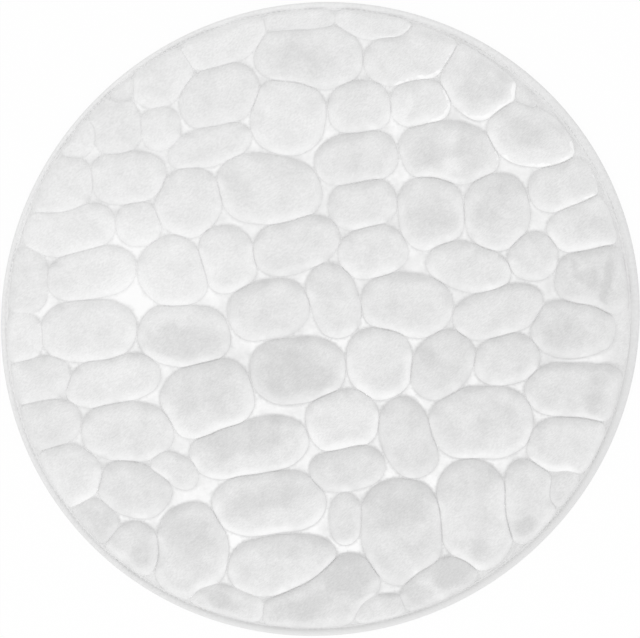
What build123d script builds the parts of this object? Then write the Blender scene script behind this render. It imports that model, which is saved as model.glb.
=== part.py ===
from build123d import *
import os
from math import atan2, cos, hypot, pi, radians, sin, sqrt

# A round bath mat: plush cloth moulded over foam in a cobblestone pattern, backed with a non-slip
# coat and hemmed with a sewn binding. Millimetres, +Z up, origin on the floor under its middle.

# The whole mat, across the binding
MAT_DIAMETER = 600.0

# Thickness of the binding tape, and of each layer as pressed in the joints between the stones
TAPE = 1.0
GRIP_COAT = 0.5
BACKING = 0.7
PRESSED_FOAM = 2.0
COVER = 1.6

# Binding: the roll outside its seam, the lip inside it, how far each puffs up above the seam, the fold at
# the floor, and the facets that round off the roll and the fold
ROLL_WIDTH = 8.0
ROLL_PUFF = 1.6
LIP_WIDTH = 2.5
LIP_PUFF = 0.3
FOLD_RADIUS = 2.0
ROLL_FACETS = 8
FOLD_FACETS = 4

# Seam: thread diameter, one stitch with its gap, the gap alone, and the under thread's floor clearance
THREAD = 0.5
STITCH_PITCH = 5.0
STITCH_GAP = 1.2
THREAD_CLEARANCE = 0.1

# Non-slip dots: diameter at the coat, draft of their sides, spacing, and bare margin inside the binding
DOT_DIAMETER = 7.0
DOT_DRAFT = 0.6
DOT_PITCH = 22.0
DOT_MARGIN = 4.0

# Stones: how high a broad one rises, the width that counts as broad, the width of the rounded flank
# round its flat crown, and the crease between two that touch
STONE_RISE = 10.0
BROAD_STONE = 44.0
FLANK_WIDTH = 18.0
CREASE = 2.2

# Room between the foam and the cloth over each stone; they are bonded in the pressed joints
FOAM_CLEARANCE = 0.3

# Outline of a stone: its squareness (2 is an ellipse), how sharply its neighbours and the field's edge
# flatten it, and the number of arcs that draw it
SQUARENESS = 2.5
SHARPNESS = 12
OUTLINE_ARCS = 10

# Section of a stone's flank, from its foot to its crown, as shares of the flank's width and of the rise,
# and the most of a narrow stone's half width that the flank may take
FLANK = ((0, 0), (0.1, 0.5), (0.4, 0.86), (1, 1))
FLANK_LIMIT = 0.75

# Stones farther apart than this share of their added lengths don't touch; where two meet is looked for
# within this share of a stone's free reach, by halving so many times
NEIGHBOUR_RANGE = 0.62
MEETING_RANGE = 1.6
HALVINGS = 24

# The stones as laid out in a field of this radius: x, y, length, width, and turn in degrees
LAYOUT_RADIUS = 289.5
STONES = [
    # Along the top edge
    (-90, 259, 84, 38, 22), (-19, 279, 62, 18, 3), (54, 274, 72, 22, -13), (-146, 226, 64, 44, 38),
    (-184, 215, 32, 12, 48), (147, 220, 74, 58, 140), (194, 206, 30, 12, -46), (-224, 168, 42, 18, 52),
    # Second and third rows
    (-95, 211, 80, 58, 20), (-10, 246, 106, 58, -3), (84, 246, 88, 52, 12), (-191, 181, 52, 47, 95),
    (-150, 180, 43, 36, 100), (-104, 163, 84, 36, 18), (-31, 192, 74, 70, 80), (37, 199, 60, 50, 5),
    (94, 203, 58, 44, 5), (198, 171, 90, 54, -14),
    # Fourth row
    (-240, 123, 62, 46, 42), (-181, 133, 76, 49, 3), (-124, 110, 68, 62, 60), (-49, 122, 102, 66, -6),
    (34, 151, 80, 50, 12), (121, 156, 96, 58, -8), (231, 126, 72, 44, 16),
    # Fifth row
    (-232, 84, 84, 44, 12), (-170, 90, 42, 42, 0), (40, 108, 66, 46, 12), (104, 100, 72, 62, 95),
    (166, 100, 74, 60, 95), (248, 88, 70, 46, 20),
    # Sixth row
    (-272, 35, 58, 34, 86), (-215, 43, 86, 46, 12), (-138, 44, 68, 64, -50), (-88, 56, 64, 54, 110),
    (-23, 70, 86, 50, 18), (49, 63, 66, 48, 14), (140, 49, 82, 44, -16), (200, 59, 47, 45, 0),
    (257, 37, 72, 58, -10),
    # Seventh row
    (-274, -18, 46, 30, 88), (-217, -12, 90, 58, 3), (-49, 9, 78, 54, 12), (13, 18, 73, 46, 106),
    (82, 13, 88, 60, -6), (166, 6, 92, 44, 15), (235, -9, 74, 54, 0),
    # Eighth row
    (-260, -56, 54, 43, 12), (-195, -58, 92, 44, 14), (-129, -16, 88, 58, -3), (-21, -48, 92, 62, 3),
    (56, -41, 70, 62, 100), (115, -42, 72, 54, 55), (176, -38, 62, 46, 14), (240, -68, 98, 50, -3),
    # Ninth row
    (-250, -96, 54, 45, 0), (-180, -106, 86, 56, -5), (-106, -75, 88, 72, 20), (21, -95, 70, 58, 15),
    (82, -112, 80, 48, 110), (152, -98, 102, 68, 3), (231, -118, 76, 52, 8),
    # Tenth row
    (-229, -144, 62, 46, -42), (-174, -158, 70, 50, -16), (-137, -141, 50, 28, -28),
    (-67, -121, 118, 50, 11), (25, -141, 72, 42, 10), (228, -160, 36, 18, 52),
    # Eleventh row
    (-206, -186, 44, 30, -42), (-171, -212, 48, 42, -50), (-48, -173, 110, 58, 6), (24, -188, 50, 28, 92),
    (77, -200, 102, 78, 96), (145, -183, 104, 66, 97), (198, -170, 80, 48, 92),
    # Along the bottom edge
    (-119, -216, 86, 64, 97), (-34, -232, 106, 56, 4), (-86, -264, 68, 24, -18), (5, -261, 118, 58, 28),
    (57, -273, 44, 22, 8), (112, -248, 76, 36, 28),
]

# Worked out from the sizes above
MAT_RADIUS = MAT_DIAMETER / 2
LAYER_RADIUS = MAT_RADIUS - TAPE
SEAM_RADIUS = MAT_RADIUS - ROLL_WIDTH
FIELD_RADIUS = SEAM_RADIUS - LIP_WIDTH
COAT_BOTTOM = TAPE
BACKING_BOTTOM = COAT_BOTTOM + GRIP_COAT
FOAM_BOTTOM = BACKING_BOTTOM + BACKING
COVER_BOTTOM = FOAM_BOTTOM + PRESSED_FOAM
COVER_TOP = COVER_BOTTOM + COVER
SEAM_TOP = COVER_TOP + TAPE
UNDER_THREAD = THREAD_CLEARANCE + THREAD / 2


def spread_stones():
    """The layout carried over to the mat's own field."""
    spread = FIELD_RADIUS / LAYOUT_RADIUS
    return [
        (x * spread, y * spread, long * spread, wide * spread, turn)
        for x, y, long, wide, turn in STONES
    ]


def free_reach(stone, heading):
    """How far a stone would reach along a heading if nothing pressed on it."""
    x, y, long, wide, turn = stone
    own_heading = heading - radians(turn)
    along = abs(cos(own_heading)) / (long / 2)
    across = abs(sin(own_heading)) / (wide / 2)
    return (along**SQUARENESS + across**SQUARENESS) ** (-1 / SQUARENESS)


def crowding(stone, x, y):
    """Distance of a point from a stone's middle, as a share of the stone's free reach that way."""
    away_x = x - stone[0]
    away_y = y - stone[1]
    return hypot(away_x, away_y) / free_reach(stone, atan2(away_y, away_x))


def meeting_distance(stone, neighbour, heading):
    """Distance along a heading at which two stones crowd each other equally, found by halving."""
    free = free_reach(stone, heading)
    near = 0.0
    far = MEETING_RANGE * free
    for halving in range(HALVINGS):
        middle = (near + far) / 2
        x = stone[0] + middle * cos(heading)
        y = stone[1] + middle * sin(heading)
        if middle / free < crowding(neighbour, x, y):
            near = middle
        else:
            far = middle
    return far


def edge_distance(stone, heading):
    """Distance along a heading to the edge of the field."""
    x, y = stone[:2]
    along = x * cos(heading) + y * sin(heading)
    return sqrt(along**2 - x**2 - y**2 + FIELD_RADIUS**2) - along


def pressed_reach(stone, neighbours, heading):
    """How far a stone reaches along a heading between its neighbours, less half a crease."""
    limits = [free_reach(stone, heading), edge_distance(stone, heading)]
    limits += [meeting_distance(stone, neighbour, heading) for neighbour in neighbours]
    return sum(limit**-SHARPNESS for limit in limits) ** (-1 / SHARPNESS) - CREASE / 2


def stone_outline(stone, stones):
    """Headings and reaches round a stone, spaced as on an ellipse of its size."""
    x, y, long, wide, turn = stone
    neighbours = []
    for other in stones:
        distance = hypot(other[0] - x, other[1] - y)
        if other is not stone and distance < NEIGHBOUR_RANGE * (long + other[2]):
            neighbours.append(other)
    outline = []
    for step in range(2 * OUTLINE_ARCS):
        angle = pi * step / OUTLINE_ARCS
        heading = atan2(wide * sin(angle), long * cos(angle)) + radians(turn)
        outline.append((heading, pressed_reach(stone, neighbours, heading)))
    return outline


def ring(stone, outline, inset, height):
    """A closed wire of arcs at one height: the outline drawn in by an inset."""
    points = []
    for heading, reach in outline:
        distance = reach - inset
        points.append((stone[0] + distance * cos(heading), stone[1] + distance * sin(heading), height))
    points.append(points[0])
    arcs = []
    for step in range(0, 2 * OUTLINE_ARCS, 2):
        arcs.append(ThreePointArc(points[step], points[step + 1], points[step + 2]))
    return Wire(arcs)


def stone_dome(stone, outline, foot, inset=0.0, lowered=0.0):
    """A stone swelling up from its foot height, drawn in all round by an inset, its crown lowered."""
    reaches = [reach for heading, reach in outline]
    across = [one + other for one, other in zip(reaches, reaches[OUTLINE_ARCS:])]
    rise = STONE_RISE * min(1, sqrt(min(across) / BROAD_STONE)) - lowered
    flank = min(FLANK_WIDTH, FLANK_LIMIT * (min(reaches) - inset))
    rings = []
    for drawn_in, climb in FLANK:
        rings.append(ring(stone, outline, inset + flank * drawn_in, foot + rise * climb))
    return Solid.make_loft(rings)


def disc(height, holes=()):
    """A flat round face as wide as the layers, less the holes where bumps stand on it."""
    return Face(Wire(Edge.make_circle(LAYER_RADIUS, Plane.XY.offset(height))), holes)


def layer_edge(bottom, thickness):
    """The edge of a layer, inside the binding."""
    return Face.extrude(Edge.make_circle(LAYER_RADIUS, Plane.XY.offset(bottom)), (0, 0, thickness))


def part_from_feet(bumps, hanging=False):
    """The outlines of the bumps' feet, and the faces that stand clear of them."""
    feet = []
    clear = []
    for bump in bumps:
        foot, *others = bump.faces().sort_by(Axis.Z, reverse=hanging)
        feet.append(foot.outer_wire())
        clear += others
    return feet, clear


def sewn(faces):
    """One solid from faces that meet edge to edge."""
    return Solid(Shell(faces))


def outlined_stones():
    """Every stone of the field with its outline."""
    stones = spread_stones()
    return [(stone, stone_outline(stone, stones)) for stone in stones]


def make_top_cover(stones):
    """The moulded cloth: stones outside, and the hollows under them that the foam fills."""
    feet, outside = part_from_feet([stone_dome(*stone, COVER_TOP) for stone in stones])
    hollow_feet, inside = part_from_feet([stone_dome(*stone, COVER_BOTTOM, COVER) for stone in stones])
    flats = [disc(COVER_TOP, feet), disc(COVER_BOTTOM, hollow_feet), layer_edge(COVER_BOTTOM, COVER)]
    return sewn(flats + outside + inside)


def make_foam_core(stones):
    """The foam, pressed thin in the joints and swelling up into every stone."""
    inset = COVER + FOAM_CLEARANCE
    feet, swellings = part_from_feet(
        [stone_dome(*stone, COVER_BOTTOM, inset, FOAM_CLEARANCE) for stone in stones]
    )
    flats = [disc(FOAM_BOTTOM), disc(COVER_BOTTOM, feet), layer_edge(FOAM_BOTTOM, PRESSED_FOAM)]
    return sewn(flats + swellings)


def make_backing_cloth():
    """The plain cloth between the foam and the non-slip coat."""
    return Pos(0, 0, BACKING_BOTTOM + BACKING / 2) * Cylinder(LAYER_RADIUS, BACKING)


def make_grip_coat():
    """The non-slip coat, with staggered dots that reach down to the floor."""
    dot_radius = DOT_DIAMETER / 2
    bare_radius = FIELD_RADIUS - DOT_MARGIN - dot_radius
    row_pitch = DOT_PITCH * sqrt(3) / 2
    rows = int(bare_radius / row_pitch)
    dots = []
    for row in range(-rows, rows + 1):
        y = row * row_pitch
        shift = DOT_PITCH / 2 * (row % 2)
        columns = int(bare_radius / DOT_PITCH) + 1
        for column in range(-columns, columns + 1):
            x = column * DOT_PITCH + shift
            if hypot(x, y) < bare_radius:
                dots.append(Solid.make_cone(dot_radius - DOT_DRAFT, dot_radius, TAPE, Plane((x, y, 0))))
    feet, dot_faces = part_from_feet(dots, hanging=True)
    flats = [disc(BACKING_BOTTOM), disc(COAT_BOTTOM, feet), layer_edge(COAT_BOTTOM, GRIP_COAT)]
    return sewn(flats + dot_faces)


def make_edge_binding():
    """The tape folded round the layers, with a channel above and below for the seam's threads."""
    section = [(FIELD_RADIUS, COAT_BOTTOM), (FIELD_RADIUS, 0)]
    for facet in range(FOLD_FACETS + 1):
        angle = pi / 2 * facet / FOLD_FACETS
        section.append((MAT_RADIUS - FOLD_RADIUS * (1 - sin(angle)), FOLD_RADIUS * (1 - cos(angle))))
    swell = ROLL_PUFF + TAPE / 2
    for facet in range(ROLL_FACETS + 1):
        share = facet / ROLL_FACETS
        width = ROLL_WIDTH * (1 + cos(pi * share)) / 2
        section.append((SEAM_RADIUS + width, COVER_TOP + TAPE * share + swell * sin(pi * share)))
    section.append((SEAM_RADIUS - LIP_WIDTH / 2, SEAM_TOP + LIP_PUFF))
    section.append((FIELD_RADIUS, COVER_TOP))
    section.append((LAYER_RADIUS, COVER_TOP))
    section.append((LAYER_RADIUS, COAT_BOTTOM))
    under_channel = UNDER_THREAD + THREAD / 2
    tape = make_face(Polyline(section, close=True))
    tape -= Pos(SEAM_RADIUS, SEAM_TOP) * Rectangle(THREAD, THREAD)
    tape -= Pos(SEAM_RADIUS, under_channel / 2) * Rectangle(THREAD, under_channel)
    return revolve(Plane.XZ * tape, Axis.Z)


def make_stitches(height):
    """One side of the seam: short lengths of thread lying end to end in their channel."""
    count = int(2 * pi * SEAM_RADIUS / STITCH_PITCH)
    pitch_angle = 360 / count
    thread_share = 1 - STITCH_GAP / STITCH_PITCH
    section = Plane.XZ * Pos(SEAM_RADIUS, height) * Circle(THREAD / 2)
    stitch = revolve(section, Axis.Z, revolution_arc=pitch_angle * thread_share)
    return Compound([(Rot(0, 0, number * pitch_angle) * stitch).solid() for number in range(count)])


stones = outlined_stones()
nodes = {
    "top_cover": make_top_cover(stones),
    "foam_core": make_foam_core(stones),
    "backing_cloth": make_backing_cloth(),
    "grip_coat": make_grip_coat(),
    "edge_binding": make_edge_binding(),
    "needle_stitches": make_stitches(SEAM_TOP),
    "bobbin_stitches": make_stitches(UNDER_THREAD),
}
os.makedirs("parts", exist_ok=True)
for name, solid in nodes.items():
    export_step(solid, f"parts/{name}.step")
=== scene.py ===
from collections import namedtuple
from math import atan2, cos, hypot, pi, radians, sin

import bmesh
import bpy
from mathutils import Matrix, Vector, kdtree, noise


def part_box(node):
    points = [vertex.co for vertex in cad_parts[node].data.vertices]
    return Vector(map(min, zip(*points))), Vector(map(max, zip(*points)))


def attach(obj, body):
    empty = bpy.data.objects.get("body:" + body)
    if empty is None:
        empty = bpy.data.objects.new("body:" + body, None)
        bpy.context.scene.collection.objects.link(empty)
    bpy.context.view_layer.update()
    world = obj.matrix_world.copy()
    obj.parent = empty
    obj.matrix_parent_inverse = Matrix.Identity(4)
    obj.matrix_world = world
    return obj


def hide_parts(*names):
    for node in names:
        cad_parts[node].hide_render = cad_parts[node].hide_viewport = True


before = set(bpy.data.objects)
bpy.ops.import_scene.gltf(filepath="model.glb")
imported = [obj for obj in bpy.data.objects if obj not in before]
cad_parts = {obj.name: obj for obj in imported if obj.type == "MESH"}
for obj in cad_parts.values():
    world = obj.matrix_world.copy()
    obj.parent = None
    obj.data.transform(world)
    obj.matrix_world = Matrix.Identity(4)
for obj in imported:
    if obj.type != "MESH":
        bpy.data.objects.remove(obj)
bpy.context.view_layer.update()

# A round plush bath mat, moulded into cobblestones and hemmed with a sewn binding, seen from above.
# Metres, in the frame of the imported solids: +Z up, +Y towards the top of the photograph.
# A heading is an angle on the floor, turned anticlockwise from +X.
MM = 0.001

# The photograph: its size, the pixel of the mat's middle, and the mat's mean radius in pixels
PHOTO_WIDTH_PX = 640
PHOTO_HEIGHT_PX = 638
MAT_MIDDLE_X_PX = 320.4
MAT_MIDDLE_Y_PX = 319.0
MAT_RADIUS_PX = 318.2

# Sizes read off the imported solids
binding_low, binding_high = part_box("edge_binding")
coat_low, coat_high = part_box("grip_coat")
needle_low, needle_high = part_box("needle_stitches")
bobbin_low, bobbin_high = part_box("bobbin_stitches")
MAT_RADIUS = (binding_high.x - binding_low.x) / 2
LAYER_RADIUS = (coat_high.x - coat_low.x) / 2
FOAM_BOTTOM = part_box("foam_core")[0].z
THREAD = needle_high.z - needle_low.z
SEAM_RADIUS = (needle_high.x - needle_low.x - THREAD) / 2
SEAM_TOP = (needle_high.z + needle_low.z) / 2
SEAM_BOTTOM = (bobbin_high.z + bobbin_low.z) / 2

# Reading a mesh: corners nearer than this are one corner, a face that points up by this share is level, and
# this is a height well over the mat, to look down from
MERGE = 0.001 * MM
LEVEL = 0.999
LOOK_FROM = 1.0

# How the mat lies: it is a little oval, its foam presses the seam outwards, and more so on one side.
# All of it fades out from the edge to the middle, by a power of the radius.
OVAL = 0.0125
OVAL_HEADING = radians(36)
SEAM_OUT = 2.0 * MM
SEAM_SHIFT = 2.0 * MM
SEAM_SHIFT_HEADING = radians(170)
EDGE_POWER = 5

# Feet of the stones: the spacing of the points round them, the fewest of them, and the places between two
# points where an outline is looked for, as shares of the way
FOOT_SPACING = 2.7 * MM
LEAST_POINTS = 24
BETWEEN_POINTS = (0, 0.25, 0.5, 0.75)

# Swelling of the stones: the crease left between two, the number of steps that an outline grows by, their
# length in the field and in the zone along the seam, and how far a point looks for its neighbours
CREASE = 0.7 * MM
GROWTH_STEPS = 6
GROWTH_STEP = 0.5 * MM
GROWTH_STEP_AT_RIM = 1.2 * MM
GROWTH_SIGHT = 8.0 * MM
RIM_ZONE = 22.0 * MM

# The rim of the stones: how far inside the seam they end, and the segments of the cloth's edge
RIM_CLEARANCE = 1.0 * MM
RIM_REACH = SEAM_RADIUS - RIM_CLEARANCE
RIM_SEGMENTS = 240

# On one side the stones end short of that, at a fold: its greatest width, the heading where it has that
# width, and the power of the cosine by which it narrows away from there
RIM_FOLD = 8.0 * MM
RIM_FOLD_HEADING = radians(36)
RIM_FOLD_POWER = 16

# Unevenness of the stones' outlines: how far they wander, over what length, and the seed from which this and
# the edges of brushed patches are drawn, so that every run makes the same mat
WANDER = 1.6 * MM
WANDER_LENGTH = 24.0 * MM
WANDER_SEED = 3

# Flanks: their width, the most of a narrow stone's half width that one takes, the rings up it, and the
# fullness of its section (2 is an ellipse)
FLANK_WIDTH = 13.0 * MM
FLANK_LIMIT = 0.75
FLANK_STEPS = 8
FULLNESS = 2.3

# Crowns: their rings, as shares of the way from a stone's middle to its flank, and the swell at the middle,
# as a share of the stone's rise
CROWN_RINGS = (0.8, 0.6, 0.4, 0.2)
CROWN_SWELL = 0.16

# Unevenness of the foam: size and height of its lumps, and the height over the joints at which they are full
LUMP_SIZE = 26.0 * MM
LUMP_HEIGHT = 0.7 * MM
LUMPS_FULL = 4.0 * MM

# Creases: how high two stones that touch close the crease between them, how far from the seam it drops into
# a notch, the width at which it is an open gap, and how much easier a flank is there
CREASE_LIFT = 6.5 * MM
NOTCH_LENGTH = 4.0 * MM
OPEN_GAP = 5.0 * MM
OPEN_EASE = 0.3

# Gaps between three stones or more: the mesh step, the times that longer edges are halved to reach it, and
# the lift of the cloth
GAP_STEP = 4.0 * MM
GAP_HALVINGS = 2
GAP_LIFT = 3.0 * MM

# The cloth in a gap is pressed smooth and white: how far from the stones it is wholly so, and the zone along
# the seam in which it is less so
PRESSED_FROM = 2.5 * MM
PRESSED_ZONE = 28.0 * MM

# Towards one side the mat lies calmer: its creases are shallower there, and the painted sheen and
# painted shade on its flanks are weaker
CALM_HEADING = radians(140)
CALM_CREASE_LIFT = 1.4 * MM
CALM_PAINTED_FLANK = 0.65

# A flank carries painted sheen where it faces one heading, standing in for light on the pile from that side,
# and painted shade where it faces away from it; a crown carries painted shade, a little darker than its
# flanks
PAINTED_LIGHT_HEADING = radians(-80)
FLANK_PAINTED_SHEEN = 0.75
FLANK_PAINTED_SHEEN_LEAST = 0.15
FLANK_PAINTED_SHADE = 0.7
CROWN_PAINTED_SHADE = 0.1

# In a zone along the seam a flank has less painted sheen, and one that faces away from that heading gets
# painted light instead of painted shade: the width of the zone, and what becomes of both at the seam
QUIET_ZONE = 14.0 * MM
PAINTED_SHEEN_AT_SEAM = 0.5
PAINTED_SHADE_AT_SEAM = -0.8

# How deep the pile is brushed: the depth that differs from stone to stone; and painted shade that grows
# across the mat towards one side, as the light falls off, with painted light towards the other
STONE_DEPTH = 0.5
STONE_DEPTH_LENGTH = 45.0 * MM
SIDE_PAINTED_SHADE = 0.5
SIDE_HEADING = radians(-60)

# Patches where the pile is brushed the other way and looks darker, or paler where the depth is negative.
# They are listed: x, y, length, width in millimetres, turn in degrees, depth.
BRUSHED_PATCHES = [
    (-30, -52, 72, 50, -10, 1.0), (70, -176, 60, 44, 0, 0.6), (141, -152, 60, 20, 15, 0.5),
    (152, -219, 28, 15, 0, 0.65), (194, -195, 26, 12, 0, 0.7), (28, -242, 50, 34, 30, 0.9),
    (-19, -274, 50, 24, 10, 0.6), (-139, -193, 30, 22, 20, 0.5), (-120, -207, 38, 40, 0, 0.7),
    (-128, -21, 78, 32, 0, 0.85), (-107, -66, 66, 56, 20, 0.85), (-33, -161, 46, 28, 0, 0.75),
    (-71, -175, 40, 26, 10, 0.65), (-19, -213, 52, 24, 0, 0.5), (103, 98, 44, 36, 30, 0.7),
    (160, 107, 30, 44, 0, 0.6), (179, 122, 26, 16, 0, 0.5), (270, 38, 44, 11, 84, 1.0),
    (247, 44, 30, 9, -50, 0.8), (226, -15, 34, 30, 0, 0.6), (160, -90, 60, 26, -20, 0.4),
    (113, -105, 30, 36, 0, 0.3), (99, 159, 34, 30, 0, 0.6), (141, 159, 30, 34, 0, 0.6),
    (122, 145, 20, 14, 0, -0.7), (188, 178, 40, 30, -14, 0.7), (212, 168, 26, 18, 0, 0.5),
    (151, 216, 46, 40, 0, 0.7), (254, 89, 40, 26, 0, 0.6), (-19, 244, 60, 34, 0, 0.5),
    (-76, 122, 26, 40, 20, 0.6), (-38, 140, 40, 24, 0, 0.4), (126, -236, 34, 24, 20, 0.8),
    (-162, -218, 22, 28, 0, 0.8), (-208, -190, 30, 20, 0, 0.25), (-90, -265, 40, 16, -18, 0.8),
    (262, -66, 40, 22, 70, 0.6), (70, -53, 26, 30, 0, 0.5), (103, -39, 24, 24, 0, 0.5),
    (80, 200, 24, 12, 40, -0.5), (72, 190, 12, 18, 0, -0.5), (-172, 30, 30, 20, 0, -0.4),
    (-190, -50, 40, 20, 0, -0.4), (-165, 45, 110, 100, 0, -0.5), (-95, -120, 40, 24, 20, 0.85),
    (-52, -109, 46, 26, 25, 0.8), (84, -262, 26, 22, 30, 0.5), (108, -254, 40, 10, -40, -0.5),
]

# Edge of a patch: how far out it ends, in half lengths, how far the edge wanders and over what length
PATCH_REACH = 1.5
PATCH_WANDER = 9.0 * MM
PATCH_WANDER_LENGTH = 16.0 * MM

# In one region white flecks of painted highlight lie along the edges of the stones: the region's x, y,
# length, width and turn, the heading that flecked edges face, and how far an edge may face away from it,
# as the cosines where the flecks begin and where they are full
FLECKED_REGION = (165, 190, 330, 110, -35)
FLECKS_HEADING = radians(-50)
FLECKS_FROM = -0.4
FLECKS_FULL = 0.4

# Binding: thickness of the tape, width of its lip inside the seam, stitches round the seam, the share of its
# pitch that a stitch takes, the segments round a stitch, and the steps of the tape along it
TAPE = 1.0 * MM
LIP_WIDTH = 2.5 * MM
STITCHES = 366
STITCH_SHARE = 0.76
STITCH_SEGMENTS = 6
STITCH_STEPS = 2

# Section of the binding: how far inside the rim its sole ends, the rounding and the bulge of its outside, the
# shoulder of its roll, the two sides of the groove that the seam draws, and how far its inner edge leans in
SOLE_SETBACK = 2.0 * MM
HEEL_HEIGHT = 1.2 * MM
ROLL_BULGE = 0.3 * MM
ROLL_SHOULDER = 1.2 * MM
GROOVE_OUTER = 1.2 * MM
GROOVE_INNER = 1.0 * MM
LIP_LEAN = 0.2 * MM

# Heights over the seam of the roll, at its outside, its middle and its inside, and of the lip, and how deep
# the groove sinks
ROLL_OUTER_HEIGHT = 1.5 * MM
ROLL_HEIGHT = 1.95 * MM
ROLL_INNER_HEIGHT = 1.2 * MM
LIP_HEIGHT = 0.5 * MM
GROOVE_SINK = 0.6 * MM

# Unevenness of the binding: height and length of its waves, and how far a stitch pulls it down
WAVE_HEIGHT = 0.5 * MM
WAVE_LENGTH = 22.0 * MM
STITCH_PULL = 0.25 * MM

# How deep the tape is brushed, with painted shade: its depth, painted shade that grows across the mat towards
# one side with painted light towards the other, and both again for the bottom of the groove, which is this
# wide to each side of the seam
TAPE_DEPTH = 0.42
TAPE_SIDE_PAINTED_SHADE = 0.75
TAPE_SIDE_HEADING = radians(-58)
GROOVE_DEPTH = 0.05
GROOVE_SIDE_PAINTED_SHADE = 1.6
GROOVE_BOTTOM = 0.5 * MM

# Textures of the finishes: the size of the clumps, the detail and the roughness of their noise
Texture = namedtuple("Texture", "size detail roughness")
PILE_CLUMPS = Texture(20.0 * MM, 7.0, 0.68)
PILE_RIBS = Texture(1.0 * MM, 2.0, 0.7)
PILE_FIBRES = Texture(1.1 * MM, 3.0, 0.6)
PRESSED_CLUMPS = Texture(28.0 * MM, 6.0, 0.65)
FLECKS = Texture(10.0 * MM, 4.0, 0.6)
TAPE_NAP = Texture(3.0 * MM, 3.0, 0.6)
TAPE_GRAIN = Texture(0.8 * MM, 3.0, 0.6)
THREAD_TINT = Texture(0.5 * MM, 2.0, 0.5)
THREAD_TWIST = Texture(0.2 * MM, 2.0, 0.5)
COAT_TINT = Texture(14.0 * MM, 3.0, 0.5)
COAT_GRAIN = Texture(0.9 * MM, 2.0, 0.5)
BACKING_TINT = Texture(1.0 * MM, 2.0, 0.5)

# Greys of the finishes, as the stops of a ramp: a place along it and a lightness
PILE_GREYS = ((0.1, 0.93), (0.5, 0.845), (1.0, 0.705))
RIB_GREYS = ((0.35, 0.89), (0.65, 1.0))
PRESSED_GREYS = ((0.33, 0.81), (0.59, 0.98))
FLECK_GREYS = ((0.40, 0.0), (0.48, 0.85))
TAPE_GREYS = ((0.0, 0.92), (0.5, 0.84), (1.0, 0.75))
THREAD_GREYS = ((0.3, 0.70), (0.7, 0.82))
COAT_GREYS = ((0.3, 0.68), (0.7, 0.76))
BACKING_GREYS = ((0.3, 0.70), (0.7, 0.80))

# Place along the ramp: the spread and the shift of the pile's clumps, how far brushing and painted shade move
# the pile and the tape along it, and how far they move the pressed cloth for each step of the pile
CLUMP_SPREAD = 1.1
CLUMP_SHIFT = -0.07
PILE_PAINTED_SHADE_AND_BRUSHING = 0.42
TAPE_PAINTED_SHADE_AND_BRUSHING = 0.5
PRESSED_PAINTED_SHADE_AND_BRUSHING = -1.2

# Ribs of the pile: the way that they run, and how they are drawn out along it
RIB_HEADING = radians(38)
RIB_STRETCH = (3, 1, 1)

# Fine relief: its strength and its height
Relief = namedtuple("Relief", "strength height")
PLUSH_RELIEF = Relief(0.3, 0.5 * MM)
TAPE_RELIEF = Relief(0.3, 0.4 * MM)
THREAD_RELIEF = Relief(0.3, 0.1 * MM)
COAT_RELIEF = Relief(0.25, 0.3 * MM)

# Values that are the same all over a finish, by the names of the shader's sockets
PLUSH_FINISH = {"Roughness": 0.9, "Specular IOR Level": 0.2, "Sheen Weight": 0.7, "Sheen Roughness": 0.4}
TAPE_FINISH = {"Roughness": 0.9, "Specular IOR Level": 0.2, "Sheen Weight": 0.15}
THREAD_FINISH = {"Roughness": 0.7}
COAT_FINISH = {"Roughness": 0.55}
BACKING_FINISH = {"Roughness": 0.9}
FLOOR_FINISH = {"Roughness": 1.0, "Base Color": (0.9, 0.9, 0.9, 1)}

# Sockets of the node that mixes two colours, which share their names with those for other kinds of value
MIX_FACTOR = 0
MIX_FIRST = 6
MIX_SECOND = 7
MIX_RESULT = 2

# Floor: how far it is clear of the mat, how far it reaches, and the share of plain white that it shows
FLOOR_GAP = 0.1 * MM
FLOOR_REACH = 6.0
FLOOR_GLOW = 0.95

# Light: the strength of the light from all round, and the place, size and power of the one lamp
AMBIENT = 0.915
LAMP_PLACE = Vector((0.0, -1.6, 1.5))
LAMP_SIZE = 1.2
LAMP_POWER = 7.0

# Camera, in its own millimetres
LENS_MM = 200
SENSOR_MM = 36

# What is known of a stone: its middle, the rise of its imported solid, how deep it is brushed, and its flank
Stone = namedtuple("Stone", "middle rise depth flank")

# What the plush carries at its corners: three marks for its finish, then those that only its shaping needs.
# They are the openness of the gap beside a stone, the height and the distance from the middle of the foot
# below, and the way that the foot faces. The last is the number of a face's stone.
# The three marks for the finish carry: the white of pressed cloth and painted sheen on the flanks; the
# brushing of the pile and painted shade; and painted highlights in flecks.
Marks = namedtuple("Marks", "paleness brushed flecked openness foot span outward stone")


# Points and numbers


def radius_of(point):
    """Distance of a point from the mat's axis."""
    return hypot(point.x, point.y)


def heading_of(point):
    """The heading of a point from the mat's axis."""
    return atan2(point.y, point.x)


def towards(heading):
    """A step of length one on the floor, in a heading."""
    return Vector((cos(heading), sin(heading), 0))


def inside_seam(point):
    """How far inside the rim of the stones a point lies."""
    return RIM_REACH - radius_of(point)


def side_share(point, heading):
    """How far a point lies towards one side of the mat, from -1 to 1."""
    return point.dot(towards(heading)) / MAT_RADIUS


def calmness(point):
    """How calm the mat lies at a point, from 0 to 1."""
    return max(0, side_share(point, CALM_HEADING))


def blended(first, second, share):
    """A number part of the way from one to another."""
    return first + (second - first) * share


def eased(value):
    """A share from 0 to 1 with soft ends."""
    share = min(1, max(0, value))
    return share * share * (3 - 2 * share)


def pairs_round(items):
    """Each item of a closed row with the one after it."""
    return list(zip(items, items[1:] + items[:1]))


def neighbours(items):
    """Each item of a closed row with the one before and the one after it."""
    return zip(items[-1:] + items[:-1], items, items[1:] + items[:1])


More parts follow.
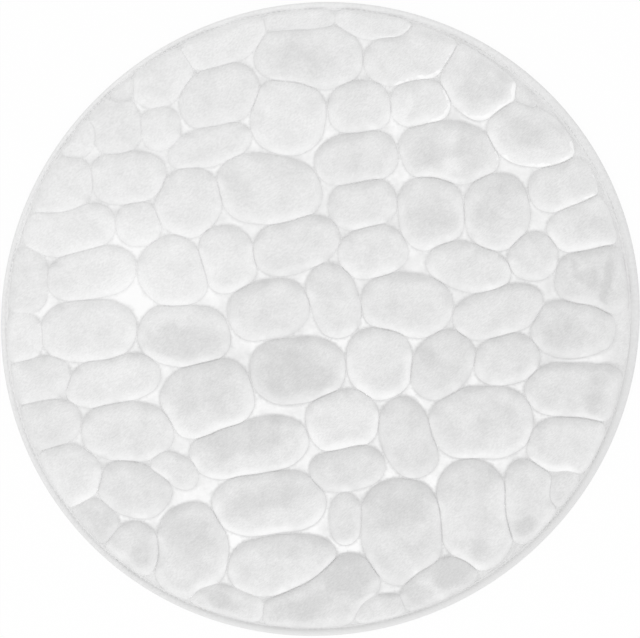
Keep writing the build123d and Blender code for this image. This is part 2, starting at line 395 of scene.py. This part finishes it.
def patch_share(point, x, y, length, width, turn):
    """How far inside a patch a point lies: 1 in its middle, 0 outside it, with an uneven edge."""
    place = Vector((point.x, point.y, 0))
    wander = noise.noise_vector(place / PATCH_WANDER_LENGTH) * PATCH_WANDER
    strayed = place - Vector((x, y, 0)) * MM + wander
    along, across, up = Matrix.Rotation(-radians(turn), 3, "Z") @ strayed / MM
    return eased(PATCH_REACH - hypot(along / length, across / width) * 2)


def settled(point):
    """Where a point of the round mat comes to lie on the floor."""
    radius = radius_of(point)
    edge_share = min(1, radius / MAT_RADIUS) ** EDGE_POWER
    roll_share = min(1, max(0, (radius - SEAM_RADIUS) / (MAT_RADIUS - SEAM_RADIUS)))
    seam_share = edge_share * (1 - roll_share)
    oval = OVAL * edge_share * cos(2 * (heading_of(point) - OVAL_HEADING))
    stretch = 1 + oval + SEAM_OUT / SEAM_RADIUS * seam_share
    shift = towards(SEAM_SHIFT_HEADING) * SEAM_SHIFT * seam_share
    return Vector((point.x * stretch + shift.x, point.y * stretch + shift.y, point.z))


# Meshes and pieces


def object_of(name, bm, material):
    """An object in the scene, made of a mesh that is then done with."""
    mesh = bpy.data.meshes.new(name)
    bm.to_mesh(mesh)
    bm.free()
    mesh.materials.append(material)
    made = bpy.data.objects.new(name, mesh)
    bpy.context.scene.collection.objects.link(made)
    return made


def finished_piece(name, bm, material, slot, *nodes):
    """A piece from its mesh: settled, closed, facing outwards and standing for its nodes."""
    for vert in bm.verts:
        vert.co = settled(vert.co)
    bmesh.ops.remove_doubles(bm, verts=bm.verts, dist=MERGE)
    bmesh.ops.recalc_face_normals(bm, faces=bm.faces)
    for face in bm.faces:
        face.smooth = True
    piece = object_of(name, bm, material)
    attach(piece, "root")
    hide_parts(*nodes)
    return piece


def merged_copy(node):
    """A copy of a node's mesh with its loose triangles joined up."""
    bm = bmesh.new()
    bm.from_mesh(bpy.data.objects[node].data)
    bmesh.ops.remove_doubles(bm, verts=bm.verts, dist=MERGE)
    return bm


def closed_ring(bm, points):
    """The edges of a closed outline, with new corners at its points."""
    verts = [bm.verts.new(point) for point in points]
    return [bm.edges.new(pair) for pair in pairs_round(verts)]


def boundary_loops(bm):
    """The corners along each open edge of a mesh, in order round it."""
    walked = set()
    loops = []
    for first in bm.edges:
        if not first.is_boundary or first in walked:
            continue
        walked.add(first)
        start, corner = first.verts
        loop = [start]
        while corner is not start:
            loop.append(corner)
            edge = next(edge for edge in corner.link_edges if edge.is_boundary and edge not in walked)
            walked.add(edge)
            corner = edge.other_vert(corner)
        loops.append(loop)
    return loops


# Finishes


def new_material(name, finish):
    """A material, its node tree and its shader, with the values that are the same all over."""
    material = bpy.data.materials.new(name)
    material.use_nodes = True
    tree = material.node_tree
    shader = tree.nodes["Principled BSDF"]
    for socket, value in finish.items():
        shader.inputs[socket].default_value = value
    return material, tree, shader


def feed(tree, source, socket):
    """A socket set to a fixed number, or linked to another node."""
    if isinstance(source, float):
        socket.default_value = source
    else:
        tree.links.new(source, socket)


def object_place(tree):
    """Coordinates that are fixed to the piece."""
    return tree.nodes.new("ShaderNodeTexCoord").outputs["Object"]


def turned(tree, place, turn, stretch):
    """Coordinates turned about the mat's middle and drawn out along one way."""
    mapping = tree.nodes.new("ShaderNodeMapping")
    mapping.vector_type = "TEXTURE"
    mapping.inputs["Rotation"].default_value = (0, 0, turn)
    mapping.inputs["Scale"].default_value = stretch
    tree.links.new(place, mapping.inputs["Vector"])
    return mapping.outputs["Vector"]


def attribute_of(tree, name):
    """A number that the mesh carries at its corners."""
    attribute = tree.nodes.new("ShaderNodeAttribute")
    attribute.attribute_name = name
    return attribute.outputs["Fac"]


def noise_of(tree, place, texture):
    """The noise of a texture, from 0 to 1."""
    clumps = tree.nodes.new("ShaderNodeTexNoise")
    clumps.inputs["Scale"].default_value = 1 / texture.size
    clumps.inputs["Detail"].default_value = texture.detail
    clumps.inputs["Roughness"].default_value = texture.roughness
    tree.links.new(place, clumps.inputs["Vector"])
    return clumps.outputs["Fac"]


def math_of(tree, operation, *terms):
    """Numbers put together, each of them fixed or from another node."""
    math = tree.nodes.new("ShaderNodeMath")
    math.operation = operation
    for term, socket in zip(terms, math.inputs):
        feed(tree, term, socket)
    return math.outputs["Value"]


def ramp_of(tree, factor, greys):
    """A ramp of greys."""
    ramp = tree.nodes.new("ShaderNodeValToRGB")
    elements = ramp.color_ramp.elements
    while len(elements) < len(greys):
        elements.new(1.0)
    for element, (position, lightness) in zip(elements, greys):
        element.position = position
        element.color = (lightness, lightness, lightness, 1)
    tree.links.new(factor, ramp.inputs["Fac"])
    return ramp.outputs["Color"]


def mix_of(tree, factor, first, second, blend="MIX"):
    """Two colours mixed by a factor, which is fixed or from another node."""
    mix = tree.nodes.new("ShaderNodeMix")
    mix.data_type = "RGBA"
    mix.blend_type = blend
    feed(tree, factor, mix.inputs[MIX_FACTOR])
    tree.links.new(first, mix.inputs[MIX_FIRST])
    tree.links.new(second, mix.inputs[MIX_SECOND])
    return mix.outputs[MIX_RESULT]


def add_relief(tree, shader, pattern, relief):
    """Fine relief on a shader."""
    bump = tree.nodes.new("ShaderNodeBump")
    bump.inputs["Strength"].default_value = relief.strength
    bump.inputs["Distance"].default_value = relief.height
    tree.links.new(pattern, bump.inputs["Height"])
    tree.links.new(bump.outputs["Normal"], shader.inputs["Normal"])


def plush_material():
    """White plush: ribbed pile on the stones, pressed smooth and whiter in the gaps, with white flecks of
    painted highlight, and painted sheen and painted shade on the flanks.
    """
    material, tree, shader = new_material("white_plush", PLUSH_FINISH)
    place = object_place(tree)
    # The brushing of the pile, with painted shade
    depth = math_of(tree, "MULTIPLY", attribute_of(tree, "brushed"), PILE_PAINTED_SHADE_AND_BRUSHING)

    clumps = math_of(tree, "MULTIPLY_ADD", noise_of(tree, place, PILE_CLUMPS), CLUMP_SPREAD, CLUMP_SHIFT)
    pile = ramp_of(tree, math_of(tree, "ADD", clumps, depth), PILE_GREYS)
    ribs = noise_of(tree, turned(tree, place, RIB_HEADING, RIB_STRETCH), PILE_RIBS)
    ribbed = mix_of(tree, 1.0, pile, ramp_of(tree, ribs, RIB_GREYS), "MULTIPLY")

    pressed_depth = math_of(tree, "MULTIPLY", depth, PRESSED_PAINTED_SHADE_AND_BRUSHING)
    pressed = math_of(tree, "ADD", noise_of(tree, place, PRESSED_CLUMPS), pressed_depth)
    smooth = ramp_of(tree, pressed, PRESSED_GREYS)
    # The white of pressed cloth in the gaps, and painted sheen on the flanks
    cloth = mix_of(tree, attribute_of(tree, "paleness"), ribbed, smooth)

    # Painted highlights in white flecks
    painted_glints = math_of(tree, "MULTIPLY", noise_of(tree, place, FLECKS), attribute_of(tree, "flecked"))
    flecked = mix_of(tree, 1.0, cloth, ramp_of(tree, painted_glints, FLECK_GREYS), "SCREEN")
    tree.links.new(flecked, shader.inputs["Base Color"])

    fibres = noise_of(tree, place, PILE_FIBRES)
    add_relief(tree, shader, math_of(tree, "ADD", fibres, ribs), PLUSH_RELIEF)
    return material


def tape_material():
    """Soft brushed tape, a little darker than the pressed plush."""
    material, tree, shader = new_material("brushed_tape", TAPE_FINISH)
    place = object_place(tree)
    # The brushing mark carries painted shade across the tape, darker towards one side of the mat
    depth = math_of(tree, "MULTIPLY", attribute_of(tree, "brushed"), TAPE_PAINTED_SHADE_AND_BRUSHING)
    nap = math_of(tree, "ADD", noise_of(tree, place, TAPE_NAP), depth)
    tree.links.new(ramp_of(tree, nap, TAPE_GREYS), shader.inputs["Base Color"])
    add_relief(tree, shader, noise_of(tree, place, TAPE_GRAIN), TAPE_RELIEF)
    return material


def thread_material():
    """White sewing thread."""
    material, tree, shader = new_material("sewing_thread", THREAD_FINISH)
    place = object_place(tree)
    tint = ramp_of(tree, noise_of(tree, place, THREAD_TINT), THREAD_GREYS)
    tree.links.new(tint, shader.inputs["Base Color"])
    add_relief(tree, shader, noise_of(tree, place, THREAD_TWIST), THREAD_RELIEF)
    return material


def coat_material():
    """The matt rubbery coat of the underside."""
    material, tree, shader = new_material("rubbery_coat", COAT_FINISH)
    place = object_place(tree)
    tint = ramp_of(tree, noise_of(tree, place, COAT_TINT), COAT_GREYS)
    tree.links.new(tint, shader.inputs["Base Color"])
    add_relief(tree, shader, noise_of(tree, place, COAT_GRAIN), COAT_RELIEF)
    return material


def backing_material():
    """Plain thin backing cloth."""
    material, tree, shader = new_material("backing_cloth", BACKING_FINISH)
    tint = ramp_of(tree, noise_of(tree, object_place(tree), BACKING_TINT), BACKING_GREYS)
    tree.links.new(tint, shader.inputs["Base Color"])
    return material


# Outlines of the stones


def stone_loops(bm):
    """The open edges of a mesh that run round stones, and not round the rim."""
    return [loop for loop in boundary_loops(bm) if radius_of(loop[0].co) < SEAM_RADIUS]


def stone_feet():
    """The height of the pressed joints, and the outline of every stone that stands on them."""
    cover = bpy.data.objects["top_cover"].data
    level = [face for face in cover.polygons if face.normal.z > LEVEL]
    joint_top = min(face.center.z for face in level)
    joints = {face.index for face in level if face.center.z < joint_top + MERGE}
    bm = bmesh.new()
    bm.from_mesh(cover)
    others = [face for face in bm.faces if face.index not in joints]
    bmesh.ops.delete(bm, geom=others, context="FACES")
    bmesh.ops.remove_doubles(bm, verts=bm.verts, dist=MERGE)
    outlines = [anticlockwise([vert.co.copy() for vert in loop]) for loop in stone_loops(bm)]
    bm.free()
    return joint_top, [evenly_spaced(outline) for outline in outlines]


def anticlockwise(loop):
    """A closed outline, turned round if it runs clockwise."""
    area = sum(one.x * other.y - other.x * one.y for one, other in pairs_round(loop))
    return loop if area > 0 else loop[::-1]


def evenly_spaced(loop):
    """Points at equal steps along a closed outline, rounded off a little."""
    pairs = pairs_round(loop)
    total = sum((end - start).length for start, end in pairs)
    count = max(LEAST_POINTS, round(total / FOOT_SPACING))
    points = []
    walked = 0.0
    for start, end in pairs:
        step = (end - start).length
        while len(points) < count and len(points) * total / count < walked + step:
            points.append(start.lerp(end, (len(points) * total / count - walked) / step))
        walked += step
    return [(before + 2 * point + after) / 4 for before, point, after in neighbours(points)]


def tree_of(outlines):
    """All outlines in a search tree, with the number of the outline that each of its points is on."""
    tree = kdtree.KDTree(len(BETWEEN_POINTS) * sum(len(outline) for outline in outlines))
    owners = []
    for number, outline in enumerate(outlines):
        for point, after in pairs_round(outline):
            for share in BETWEEN_POINTS:
                tree.insert(point.lerp(after, share), len(owners))
                owners.append(number)
    tree.balance()
    return tree, owners


def gap_beside(point, number, tree, owners):
    """Distance from a point beside one outline to the nearest other outline in sight."""
    near = [found[2] for found in tree.find_range(point, GROWTH_SIGHT) if owners[found[1]] != number]
    return min(near, default=GROWTH_SIGHT)


def rim_fold(point):
    """How far short of the rim the stones end, on the heading of a point."""
    off_heading = heading_of(point) - RIM_FOLD_HEADING
    return RIM_FOLD * max(0, cos(off_heading)) ** RIM_FOLD_POWER


def swollen(outline, number, tree, owners):
    """An outline grown one step towards its neighbours and the seam, up to the crease between them."""
    grown = []
    for before, point, after in neighbours(outline):
        outward = Vector((after.y - before.y, before.x - after.x, 0)).normalized()
        room = (gap_beside(point, number, tree, owners) - CREASE) / 2
        rim_room = RIM_REACH - rim_fold(point) - radius_of(point)
        most = GROWTH_STEP_AT_RIM if rim_room < RIM_ZONE else GROWTH_STEP
        grown.append(point + outward * max(0, min(most, room, rim_room)))
    return evenly_spaced(grown)


def swollen_outlines(outlines):
    """The outlines of the stones as the foam presses them against each other and the seam."""
    for step in range(GROWTH_STEPS):
        tree, owners = tree_of(outlines)
        outlines = [swollen(outline, number, tree, owners) for number, outline in enumerate(outlines)]
    return outlines


# The moulded plush top


def new_marks(bm):
    """The marks of the plush, on a mesh that is still empty."""
    numbers = bm.verts.layers.float
    paleness, brushed, flecked = [numbers.new(name) for name in ("paleness", "brushed", "flecked")]
    openness, foot, span = [numbers.new(name) for name in ("openness", "foot", "span")]
    outward = bm.verts.layers.float_vector.new("outward")
    stone = bm.faces.layers.int.new("stone")
    return Marks(paleness, brushed, flecked, openness, foot, span, outward, stone)


def drop_shaping_marks(bm, marks):
    """Leaves only the marks of the finish. The last numbers go first, so that the others stay in place."""
    for mark in (marks.span, marks.foot, marks.openness):
        bm.verts.layers.float.remove(mark)
    bm.verts.layers.float_vector.remove(marks.outward)
    bm.faces.layers.int.remove(marks.stone)


def fill_joints(bm, outlines, marks):
    """The cloth between the stones: drawn down into the creases, pressed smooth and white in the gaps."""
    bmesh.ops.triangle_fill(bm, use_beauty=True, edges=bm.edges, normal=(0, 0, 1))
    for halving in range(GAP_HALVINGS):
        long = [edge for edge in bm.edges if not edge.is_boundary and edge.calc_length() > GAP_STEP]
        bmesh.ops.subdivide_edges(bm, edges=long, cuts=1, use_grid_fill=True)
        bmesh.ops.triangulate(bm, faces=bm.faces)
    tree, owners = tree_of(outlines)
    for vert in bm.verts:
        nearest, index, away = tree.find(vert.co)
        gap = away + gap_beside(vert.co, owners[index], tree, owners)
        from_seam = inside_seam(vert.co)
        vert[marks.openness] = eased((gap - CREASE) / OPEN_GAP)
        if not vert.is_boundary:
            vert[marks.paleness] = eased(away / PRESSED_FROM) * eased(from_seam / PRESSED_ZONE)
        crease_lift = CREASE_LIFT + CALM_CREASE_LIFT * calmness(vert.co)
        lift = blended(crease_lift, GAP_LIFT, vert[marks.openness])
        vert.co.z += lift * eased(from_seam / NOTCH_LENGTH)


def stone_rise(middle, joint_top):
    """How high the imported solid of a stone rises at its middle."""
    above = Vector((middle.x, middle.y, LOOK_FROM))
    hit, place, normal, index = bpy.data.objects["top_cover"].ray_cast(above, Vector((0, 0, -1)))
    return place.z - joint_top


def first_rings(bm, joint_top, marks):
    """A face on the foot of every stone, with its marks, and what is known of the stones."""
    rings = [bm.faces.new(loop) for loop in stone_loops(bm)]
    stones = []
    for number, ring in enumerate(rings):
        ring[marks.stone] = number
        middle = ring.calc_center_median()
        for before, vert, after in neighbours(ring.verts[:]):
            out = vert.co.xy - middle.xy
            across = (after.co.xy - before.co.xy).orthogonal().normalized()
            vert[marks.foot] = vert.co.z
            vert[marks.span] = out.length
            vert[marks.outward] = (across if across.dot(out) > 0 else -across).to_3d()
        narrowest = min(vert[marks.span] for vert in ring.verts)
        stones.append(Stone(
            middle=middle,
            rise=stone_rise(middle, joint_top),
            depth=STONE_DEPTH * noise.noise(middle / STONE_DEPTH_LENGTH),
            flank=min(FLANK_WIDTH, FLANK_LIMIT * narrowest),
        ))
    return rings, stones


def next_rings(bm, rings, marks):
    """New rings on top of the last ones, in the order of their stones."""
    raised = bmesh.ops.extrude_discrete_faces(bm, faces=rings)["faces"]
    return sorted(raised, key=lambda ring: ring[marks.stone])


def crown_swell(rise, reach):
    """How far a stone swells over its rise, at a share of the way out to its foot."""
    return CROWN_SWELL * rise * (1 - reach**2)


def flank_section(share, ease):
    """How far in and how far up a flank is at a share of its rings: full at a crease, easier at a gap."""
    full_draw = 1 - max(0, cos(pi / 2 * share)) ** (2 / FULLNESS)
    full_climb = sin(pi / 2 * share) ** (2 / FULLNESS)
    return blended(full_draw, share, ease), blended(full_climb, eased(share), ease)


def paint_light_on_flank(vert, stone, drawn_in, marks):
    """Painted sheen on a flank facing one heading, painted shade on one facing away, fading towards the
    crown.
    """
    margin = 1 - eased(drawn_in)
    contrast = margin * (1 - CALM_PAINTED_FLANK * calmness(vert.co))
    field = eased(inside_seam(vert.co) / QUIET_ZONE)
    facing = vert[marks.outward].dot(towards(PAINTED_LIGHT_HEADING))
    # Painted sheen along the light's heading, painted shade against it; at the seam the shade turns to
    # painted light
    pale = blended(FLANK_PAINTED_SHEEN_LEAST, FLANK_PAINTED_SHEEN, (1 + facing) / 2)
    dark = FLANK_PAINTED_SHADE * max(0, -facing)
    vert[marks.paleness] = contrast * pale * blended(PAINTED_SHEEN_AT_SEAM, 1, field)
    vert[marks.brushed] = stone.depth + contrast * dark * blended(PAINTED_SHADE_AT_SEAM, 1, field)
    # Painted highlights in white flecks, on the edges that face one heading
    fleck_facing = vert[marks.outward].dot(towards(FLECKS_HEADING))
    fleck_side = eased((fleck_facing - FLECKS_FROM) / (FLECKS_FULL - FLECKS_FROM))
    vert[marks.flecked] = margin * fleck_side * patch_share(vert.co, *FLECKED_REGION)


def raise_flanks(bm, rings, stones, joint_top, marks):
    """The flanks of the stones, pulled up ring by ring from their feet."""
    for step in range(1, FLANK_STEPS + 1):
        rings = next_rings(bm, rings, marks)
        for ring, stone in zip(rings, stones):
            middle = stone.middle.xy
            for vert in ring.verts:
                ease = OPEN_EASE * vert[marks.openness]
                drawn_in, climb = flank_section(step / FLANK_STEPS, ease)
                reach = 1 - stone.flank * drawn_in / vert[marks.span]
                height = blended(vert[marks.foot], joint_top + stone.rise, climb)
                vert.co.xy = middle + (vert.co.xy - middle).normalized() * vert[marks.span] * reach
                vert.co.z = height + crown_swell(stone.rise, reach)
                paint_light_on_flank(vert, stone, drawn_in, marks)
    return rings


def raise_crowns(bm, rings, stones, joint_top, marks):
    """The crowns of the stones, ring by ring to their middles."""
    reach_before = 1.0
    for crown_reach in CROWN_RINGS:
        rings = next_rings(bm, rings, marks)
        for ring, stone in zip(rings, stones):
            middle = stone.middle.xy
            for vert in ring.verts:
                vert.co.xy = middle + (vert.co.xy - middle) * crown_reach / reach_before
                reach = (vert.co.xy - middle).length / vert[marks.span]
                vert.co.z = joint_top + stone.rise + crown_swell(stone.rise, reach)
                # Painted shade: the crown a little darker than its flanks, most towards its middle
                vert[marks.brushed] = stone.depth + CROWN_PAINTED_SHADE * (1 - crown_reach)
        reach_before = crown_reach
    for top in bmesh.ops.poke(bm, faces=rings)["verts"]:
        stone = stones[top.link_faces[0][marks.stone]]
        top.co.z = joint_top + stone.rise + crown_swell(stone.rise, 0)
        # Painted shade at the very middle of the crown
        top[marks.brushed] = stone.depth + CROWN_PAINTED_SHADE


def brush_pile_and_paint_shade(bm, marks):
    """Painted shade that darkens one side of the mat, and the way the pile lies in patches. Dark ones spare
    white cloth.
    """
    verts = bm.verts[:]
    tree = kdtree.KDTree(len(verts))
    for index, vert in enumerate(verts):
        tree.insert((vert.co.x, vert.co.y, 0), index)
        # Painted shade darker towards one side of the mat and painted light towards the other, kept off the
        # pale cloth
        vert[marks.brushed] += SIDE_PAINTED_SHADE * side_share(vert.co, SIDE_HEADING) * (1 - vert[marks.paleness])
    tree.balance()
    for x, y, length, width, turn, depth in BRUSHED_PATCHES:
        reach = PATCH_REACH * max(length, width) / 2 * MM + PATCH_WANDER
        for place, index, away in tree.find_range(Vector((x, y, 0)) * MM, reach):
            vert = verts[index]
            pile_share = 1 - vert[marks.paleness] if depth > 0 else 1
            vert[marks.brushed] += depth * patch_share(place, x, y, length, width, turn) * pile_share


def wandered(point):
    """A point of the top moved a little, so that no outline is drawn too evenly, and held along the seam."""
    held = eased(inside_seam(point) / RIM_ZONE)
    move = noise.noise_vector(Vector((point.x, point.y, 0)) / WANDER_LENGTH) * WANDER * held
    return Vector((point.x + move.x, point.y + move.y, point.z))


def roughen(bm, joint_top):
    """Lumps of the foam under the stones, and the wandering of their outlines."""
    for vert in bm.verts:
        lift = eased((vert.co.z - joint_top) / LUMPS_FULL)
        vert.co.z += lift * LUMP_HEIGHT * noise.noise(vert.co / LUMP_SIZE)
        vert.co = wandered(vert.co)


def close_underside(bm, joint_top):
    """A wall down from the rim and a flat face under it."""
    rim_edges = [edge for edge in bm.edges if edge.is_boundary]
    wall = bmesh.ops.extrude_edge_only(bm, edges=rim_edges)["geom"]
    lower = [item for item in wall if isinstance(item, bmesh.types.BMVert)]
    lower_edges = [item for item in wall if isinstance(item, bmesh.types.BMEdge)]
    bmesh.ops.translate(bm, verts=lower, vec=(0, 0, FOAM_BOTTOM - joint_top))
    bmesh.ops.contextual_create(bm, geom=lower_edges)


def make_plush_top(joint_top, feet):
    """The plush over its foam: stones, pressed joints between them, and a flat underside."""
    bm = bmesh.new()
    marks = new_marks(bm)
    outlines = swollen_outlines(feet)
    for outline in outlines:
        closed_ring(bm, outline)
    level = Matrix.Translation((0, 0, joint_top))
    bmesh.ops.create_circle(bm, segments=RIM_SEGMENTS, radius=LAYER_RADIUS - TAPE, matrix=level)
    fill_joints(bm, outlines, marks)
    rings, stones = first_rings(bm, joint_top, marks)
    rings = raise_flanks(bm, rings, stones, joint_top, marks)
    raise_crowns(bm, rings, stones, joint_top, marks)
    brush_pile_and_paint_shade(bm, marks)
    drop_shaping_marks(bm, marks)
    roughen(bm, joint_top)
    close_underside(bm, joint_top)
    piece = finished_piece("plush_top", bm, plush_material(), "plush", "top_cover", "foam_core")


# The binding and its seam


def binding_section(joint_top):
    """Radius and height of the corners of the folded tape, from its sole up over the roll and down inside."""
    lip_edge = SEAM_RADIUS - LIP_WIDTH
    roll_middle = (SEAM_RADIUS + MAT_RADIUS) / 2
    return [
        (lip_edge, 0.0),
        (MAT_RADIUS - SOLE_SETBACK, 0.0),
        (MAT_RADIUS, HEEL_HEIGHT),
        (MAT_RADIUS + ROLL_BULGE, joint_top),
        (MAT_RADIUS - ROLL_SHOULDER, SEAM_TOP + ROLL_OUTER_HEIGHT),
        (roll_middle, SEAM_TOP + ROLL_HEIGHT),
        (SEAM_RADIUS + GROOVE_OUTER, SEAM_TOP + ROLL_INNER_HEIGHT),
        (SEAM_RADIUS, SEAM_TOP - GROOVE_SINK),
        (SEAM_RADIUS - GROOVE_INNER, SEAM_TOP + LIP_HEIGHT),
        (lip_edge, SEAM_TOP),
        (lip_edge - LIP_LEAN, joint_top),
        (LAYER_RADIUS, joint_top),
        (LAYER_RADIUS, TAPE),
        (lip_edge, TAPE),
    ]


def tape_depth_and_painted_shade(point):
    """How deep the tape is brushed at a point, with painted shade that grows towards one side of the mat."""
    side = side_share(point, TAPE_SIDE_HEADING)
    if abs(radius_of(point) - SEAM_RADIUS) < GROOVE_BOTTOM:
        return GROOVE_DEPTH + GROOVE_SIDE_PAINTED_SHADE * side
    return TAPE_DEPTH + TAPE_SIDE_PAINTED_SHADE * side


def tape_lift(point):
    """How far the tape rises in its waves, less the pull of the nearest stitch."""
    near_seam = max(0, 1 - abs(radius_of(point) - SEAM_RADIUS) / (MAT_RADIUS - SEAM_RADIUS))
    pull = cos(heading_of(point) * STITCHES / 2) ** 2 * near_seam
    return WAVE_HEIGHT * noise.noise(point / WAVE_LENGTH) - STITCH_PULL * pull


def make_binding(joint_top):
    """The tape folded round the rim: a soft roll, drawn in at every stitch, and a thin lip."""
    bm = bmesh.new()
    brushed = bm.verts.layers.float.new("brushed")
    edges = closed_ring(bm, [(radius, 0, height) for radius, height in binding_section(joint_top)])
    steps = STITCHES * STITCH_STEPS
    bmesh.ops.spin(
        bm, geom=edges, axis=(0, 0, 1), cent=(0, 0, 0), angle=2 * pi, steps=steps, use_merge=True
    )
    for vert in bm.verts:
        # Brushing of the tape with painted shade, strongest in the groove
        vert[brushed] = tape_depth_and_painted_shade(vert.co)
        if vert.co.z > joint_top and radius_of(vert.co) < LAYER_RADIUS + TAPE:
            vert.co.z += tape_lift(vert.co)
    piece = finished_piece("binding_tape", bm, tape_material(), "binding", "edge_binding")
    softened = piece.modifiers.new("softened", "SUBSURF")
    softened.levels = 1
    softened.render_levels = 1


def make_stitches(name, node, height, thread):
    """One side of the seam: short grains of thread, end to end."""
    pitch = 2 * pi / STITCHES
    length = SEAM_RADIUS * pitch * STITCH_SHARE
    bm = bmesh.new()
    first = Matrix.Translation((SEAM_RADIUS, 0, height)) @ Matrix.Diagonal((1, length / THREAD, 1, 1))
    bmesh.ops.create_uvsphere(
        bm, u_segments=STITCH_SEGMENTS, v_segments=STITCH_SEGMENTS, radius=THREAD / 2, matrix=first
    )
    bmesh.ops.spin(
        bm, geom=bm.verts[:] + bm.edges[:] + bm.faces[:], axis=(0, 0, 1), cent=(0, 0, 0),
        angle=2 * pi - pitch, steps=STITCHES - 1, use_duplicate=True
    )
    finished_piece(name, bm, thread, "thread", node)


# The scene around the mat


def seen_directly(tree, share):
    """A factor that is a share where the camera, a reflection or glass looks, and nothing elsewhere."""
    path = tree.nodes.new("ShaderNodeLightPath")
    seen = math_of(tree, "MAXIMUM", path.outputs["Is Camera Ray"], path.outputs["Is Glossy Ray"])
    seen = math_of(tree, "MAXIMUM", seen, path.outputs["Is Transmission Ray"])
    return math_of(tree, "MULTIPLY", seen, share)


def show_instead(tree, share, lit, shown, output):
    """One shader that takes and gives light, and another that shows in its place, by a share."""
    blend = tree.nodes.new("ShaderNodeMixShader")
    factor, first, second = blend.inputs
    tree.links.new(seen_directly(tree, share), factor)
    tree.links.new(lit, first)
    tree.links.new(shown, second)
    tree.links.new(blend.outputs["Shader"], output.inputs["Surface"])


def make_floor():
    """A plain white floor that keeps the mat's shadow."""
    material, tree, shader = new_material("white_floor", FLOOR_FINISH)
    glow = tree.nodes.new("ShaderNodeEmission")
    output = tree.nodes["Material Output"]
    show_instead(tree, FLOOR_GLOW, shader.outputs["BSDF"], glow.outputs["Emission"], output)
    bm = bmesh.new()
    below = Matrix.Translation((0, 0, -FLOOR_GAP))
    bmesh.ops.create_grid(bm, x_segments=1, y_segments=1, size=FLOOR_REACH, matrix=below)
    object_of("floor", bm, material)


def make_world():
    """White all round to look at, and a plain soft light from everywhere."""
    world = bpy.data.worlds.new("studio")
    bpy.context.scene.world = world
    world.use_nodes = True
    tree = world.node_tree
    soft = tree.nodes["Background"]
    white = tree.nodes.new("ShaderNodeBackground")
    for background, strength in ((soft, AMBIENT), (white, 1.0)):
        background.inputs["Color"].default_value = (1, 1, 1, 1)
        background.inputs["Strength"].default_value = strength
    output = tree.nodes["World Output"]
    show_instead(tree, 1.0, soft.outputs["Background"], white.outputs["Background"], output)


def make_lamp():
    """A square soft lamp aimed at the mat."""
    lamp = bpy.data.lights.new("key", "AREA")
    lamp.size = LAMP_SIZE
    lamp.energy = LAMP_POWER
    holder = bpy.data.objects.new("key", lamp)
    holder.location = LAMP_PLACE
    holder.rotation_euler = (-LAMP_PLACE).to_track_quat("-Z", "Y").to_euler()
    bpy.context.scene.collection.objects.link(holder)


def make_camera():
    """A long lens straight above the mat, framed as the photograph is."""
    metres_per_px = MAT_RADIUS / MAT_RADIUS_PX
    frame_width = PHOTO_WIDTH_PX * metres_per_px
    lens = bpy.data.cameras.new("overhead")
    lens.lens = LENS_MM
    lens.sensor_width = SENSOR_MM
    camera = bpy.data.objects.new("overhead", lens)
    camera.location = (
        (PHOTO_WIDTH_PX / 2 - MAT_MIDDLE_X_PX) * metres_per_px,
        (MAT_MIDDLE_Y_PX - PHOTO_HEIGHT_PX / 2) * metres_per_px,
        SEAM_TOP + frame_width * LENS_MM / SENSOR_MM,
    )
    bpy.context.scene.collection.objects.link(camera)
    bpy.context.scene.camera = camera


noise.seed_set(WANDER_SEED)
joint_top, feet = stone_feet()
make_plush_top(joint_top, feet)
make_binding(joint_top)
thread = thread_material()
make_stitches("needle_thread", "needle_stitches", SEAM_TOP, thread)
make_stitches("bobbin_thread", "bobbin_stitches", SEAM_BOTTOM, thread)
finished_piece("dotted_coat", merged_copy("grip_coat"), coat_material(), "grip", "grip_coat")
backing = merged_copy("backing_cloth")
finished_piece("backing_layer", backing, backing_material(), "backing", "backing_cloth")

make_floor()
make_world()
make_lamp()
make_camera()
bpy.context.scene.view_settings.view_transform = "Standard"
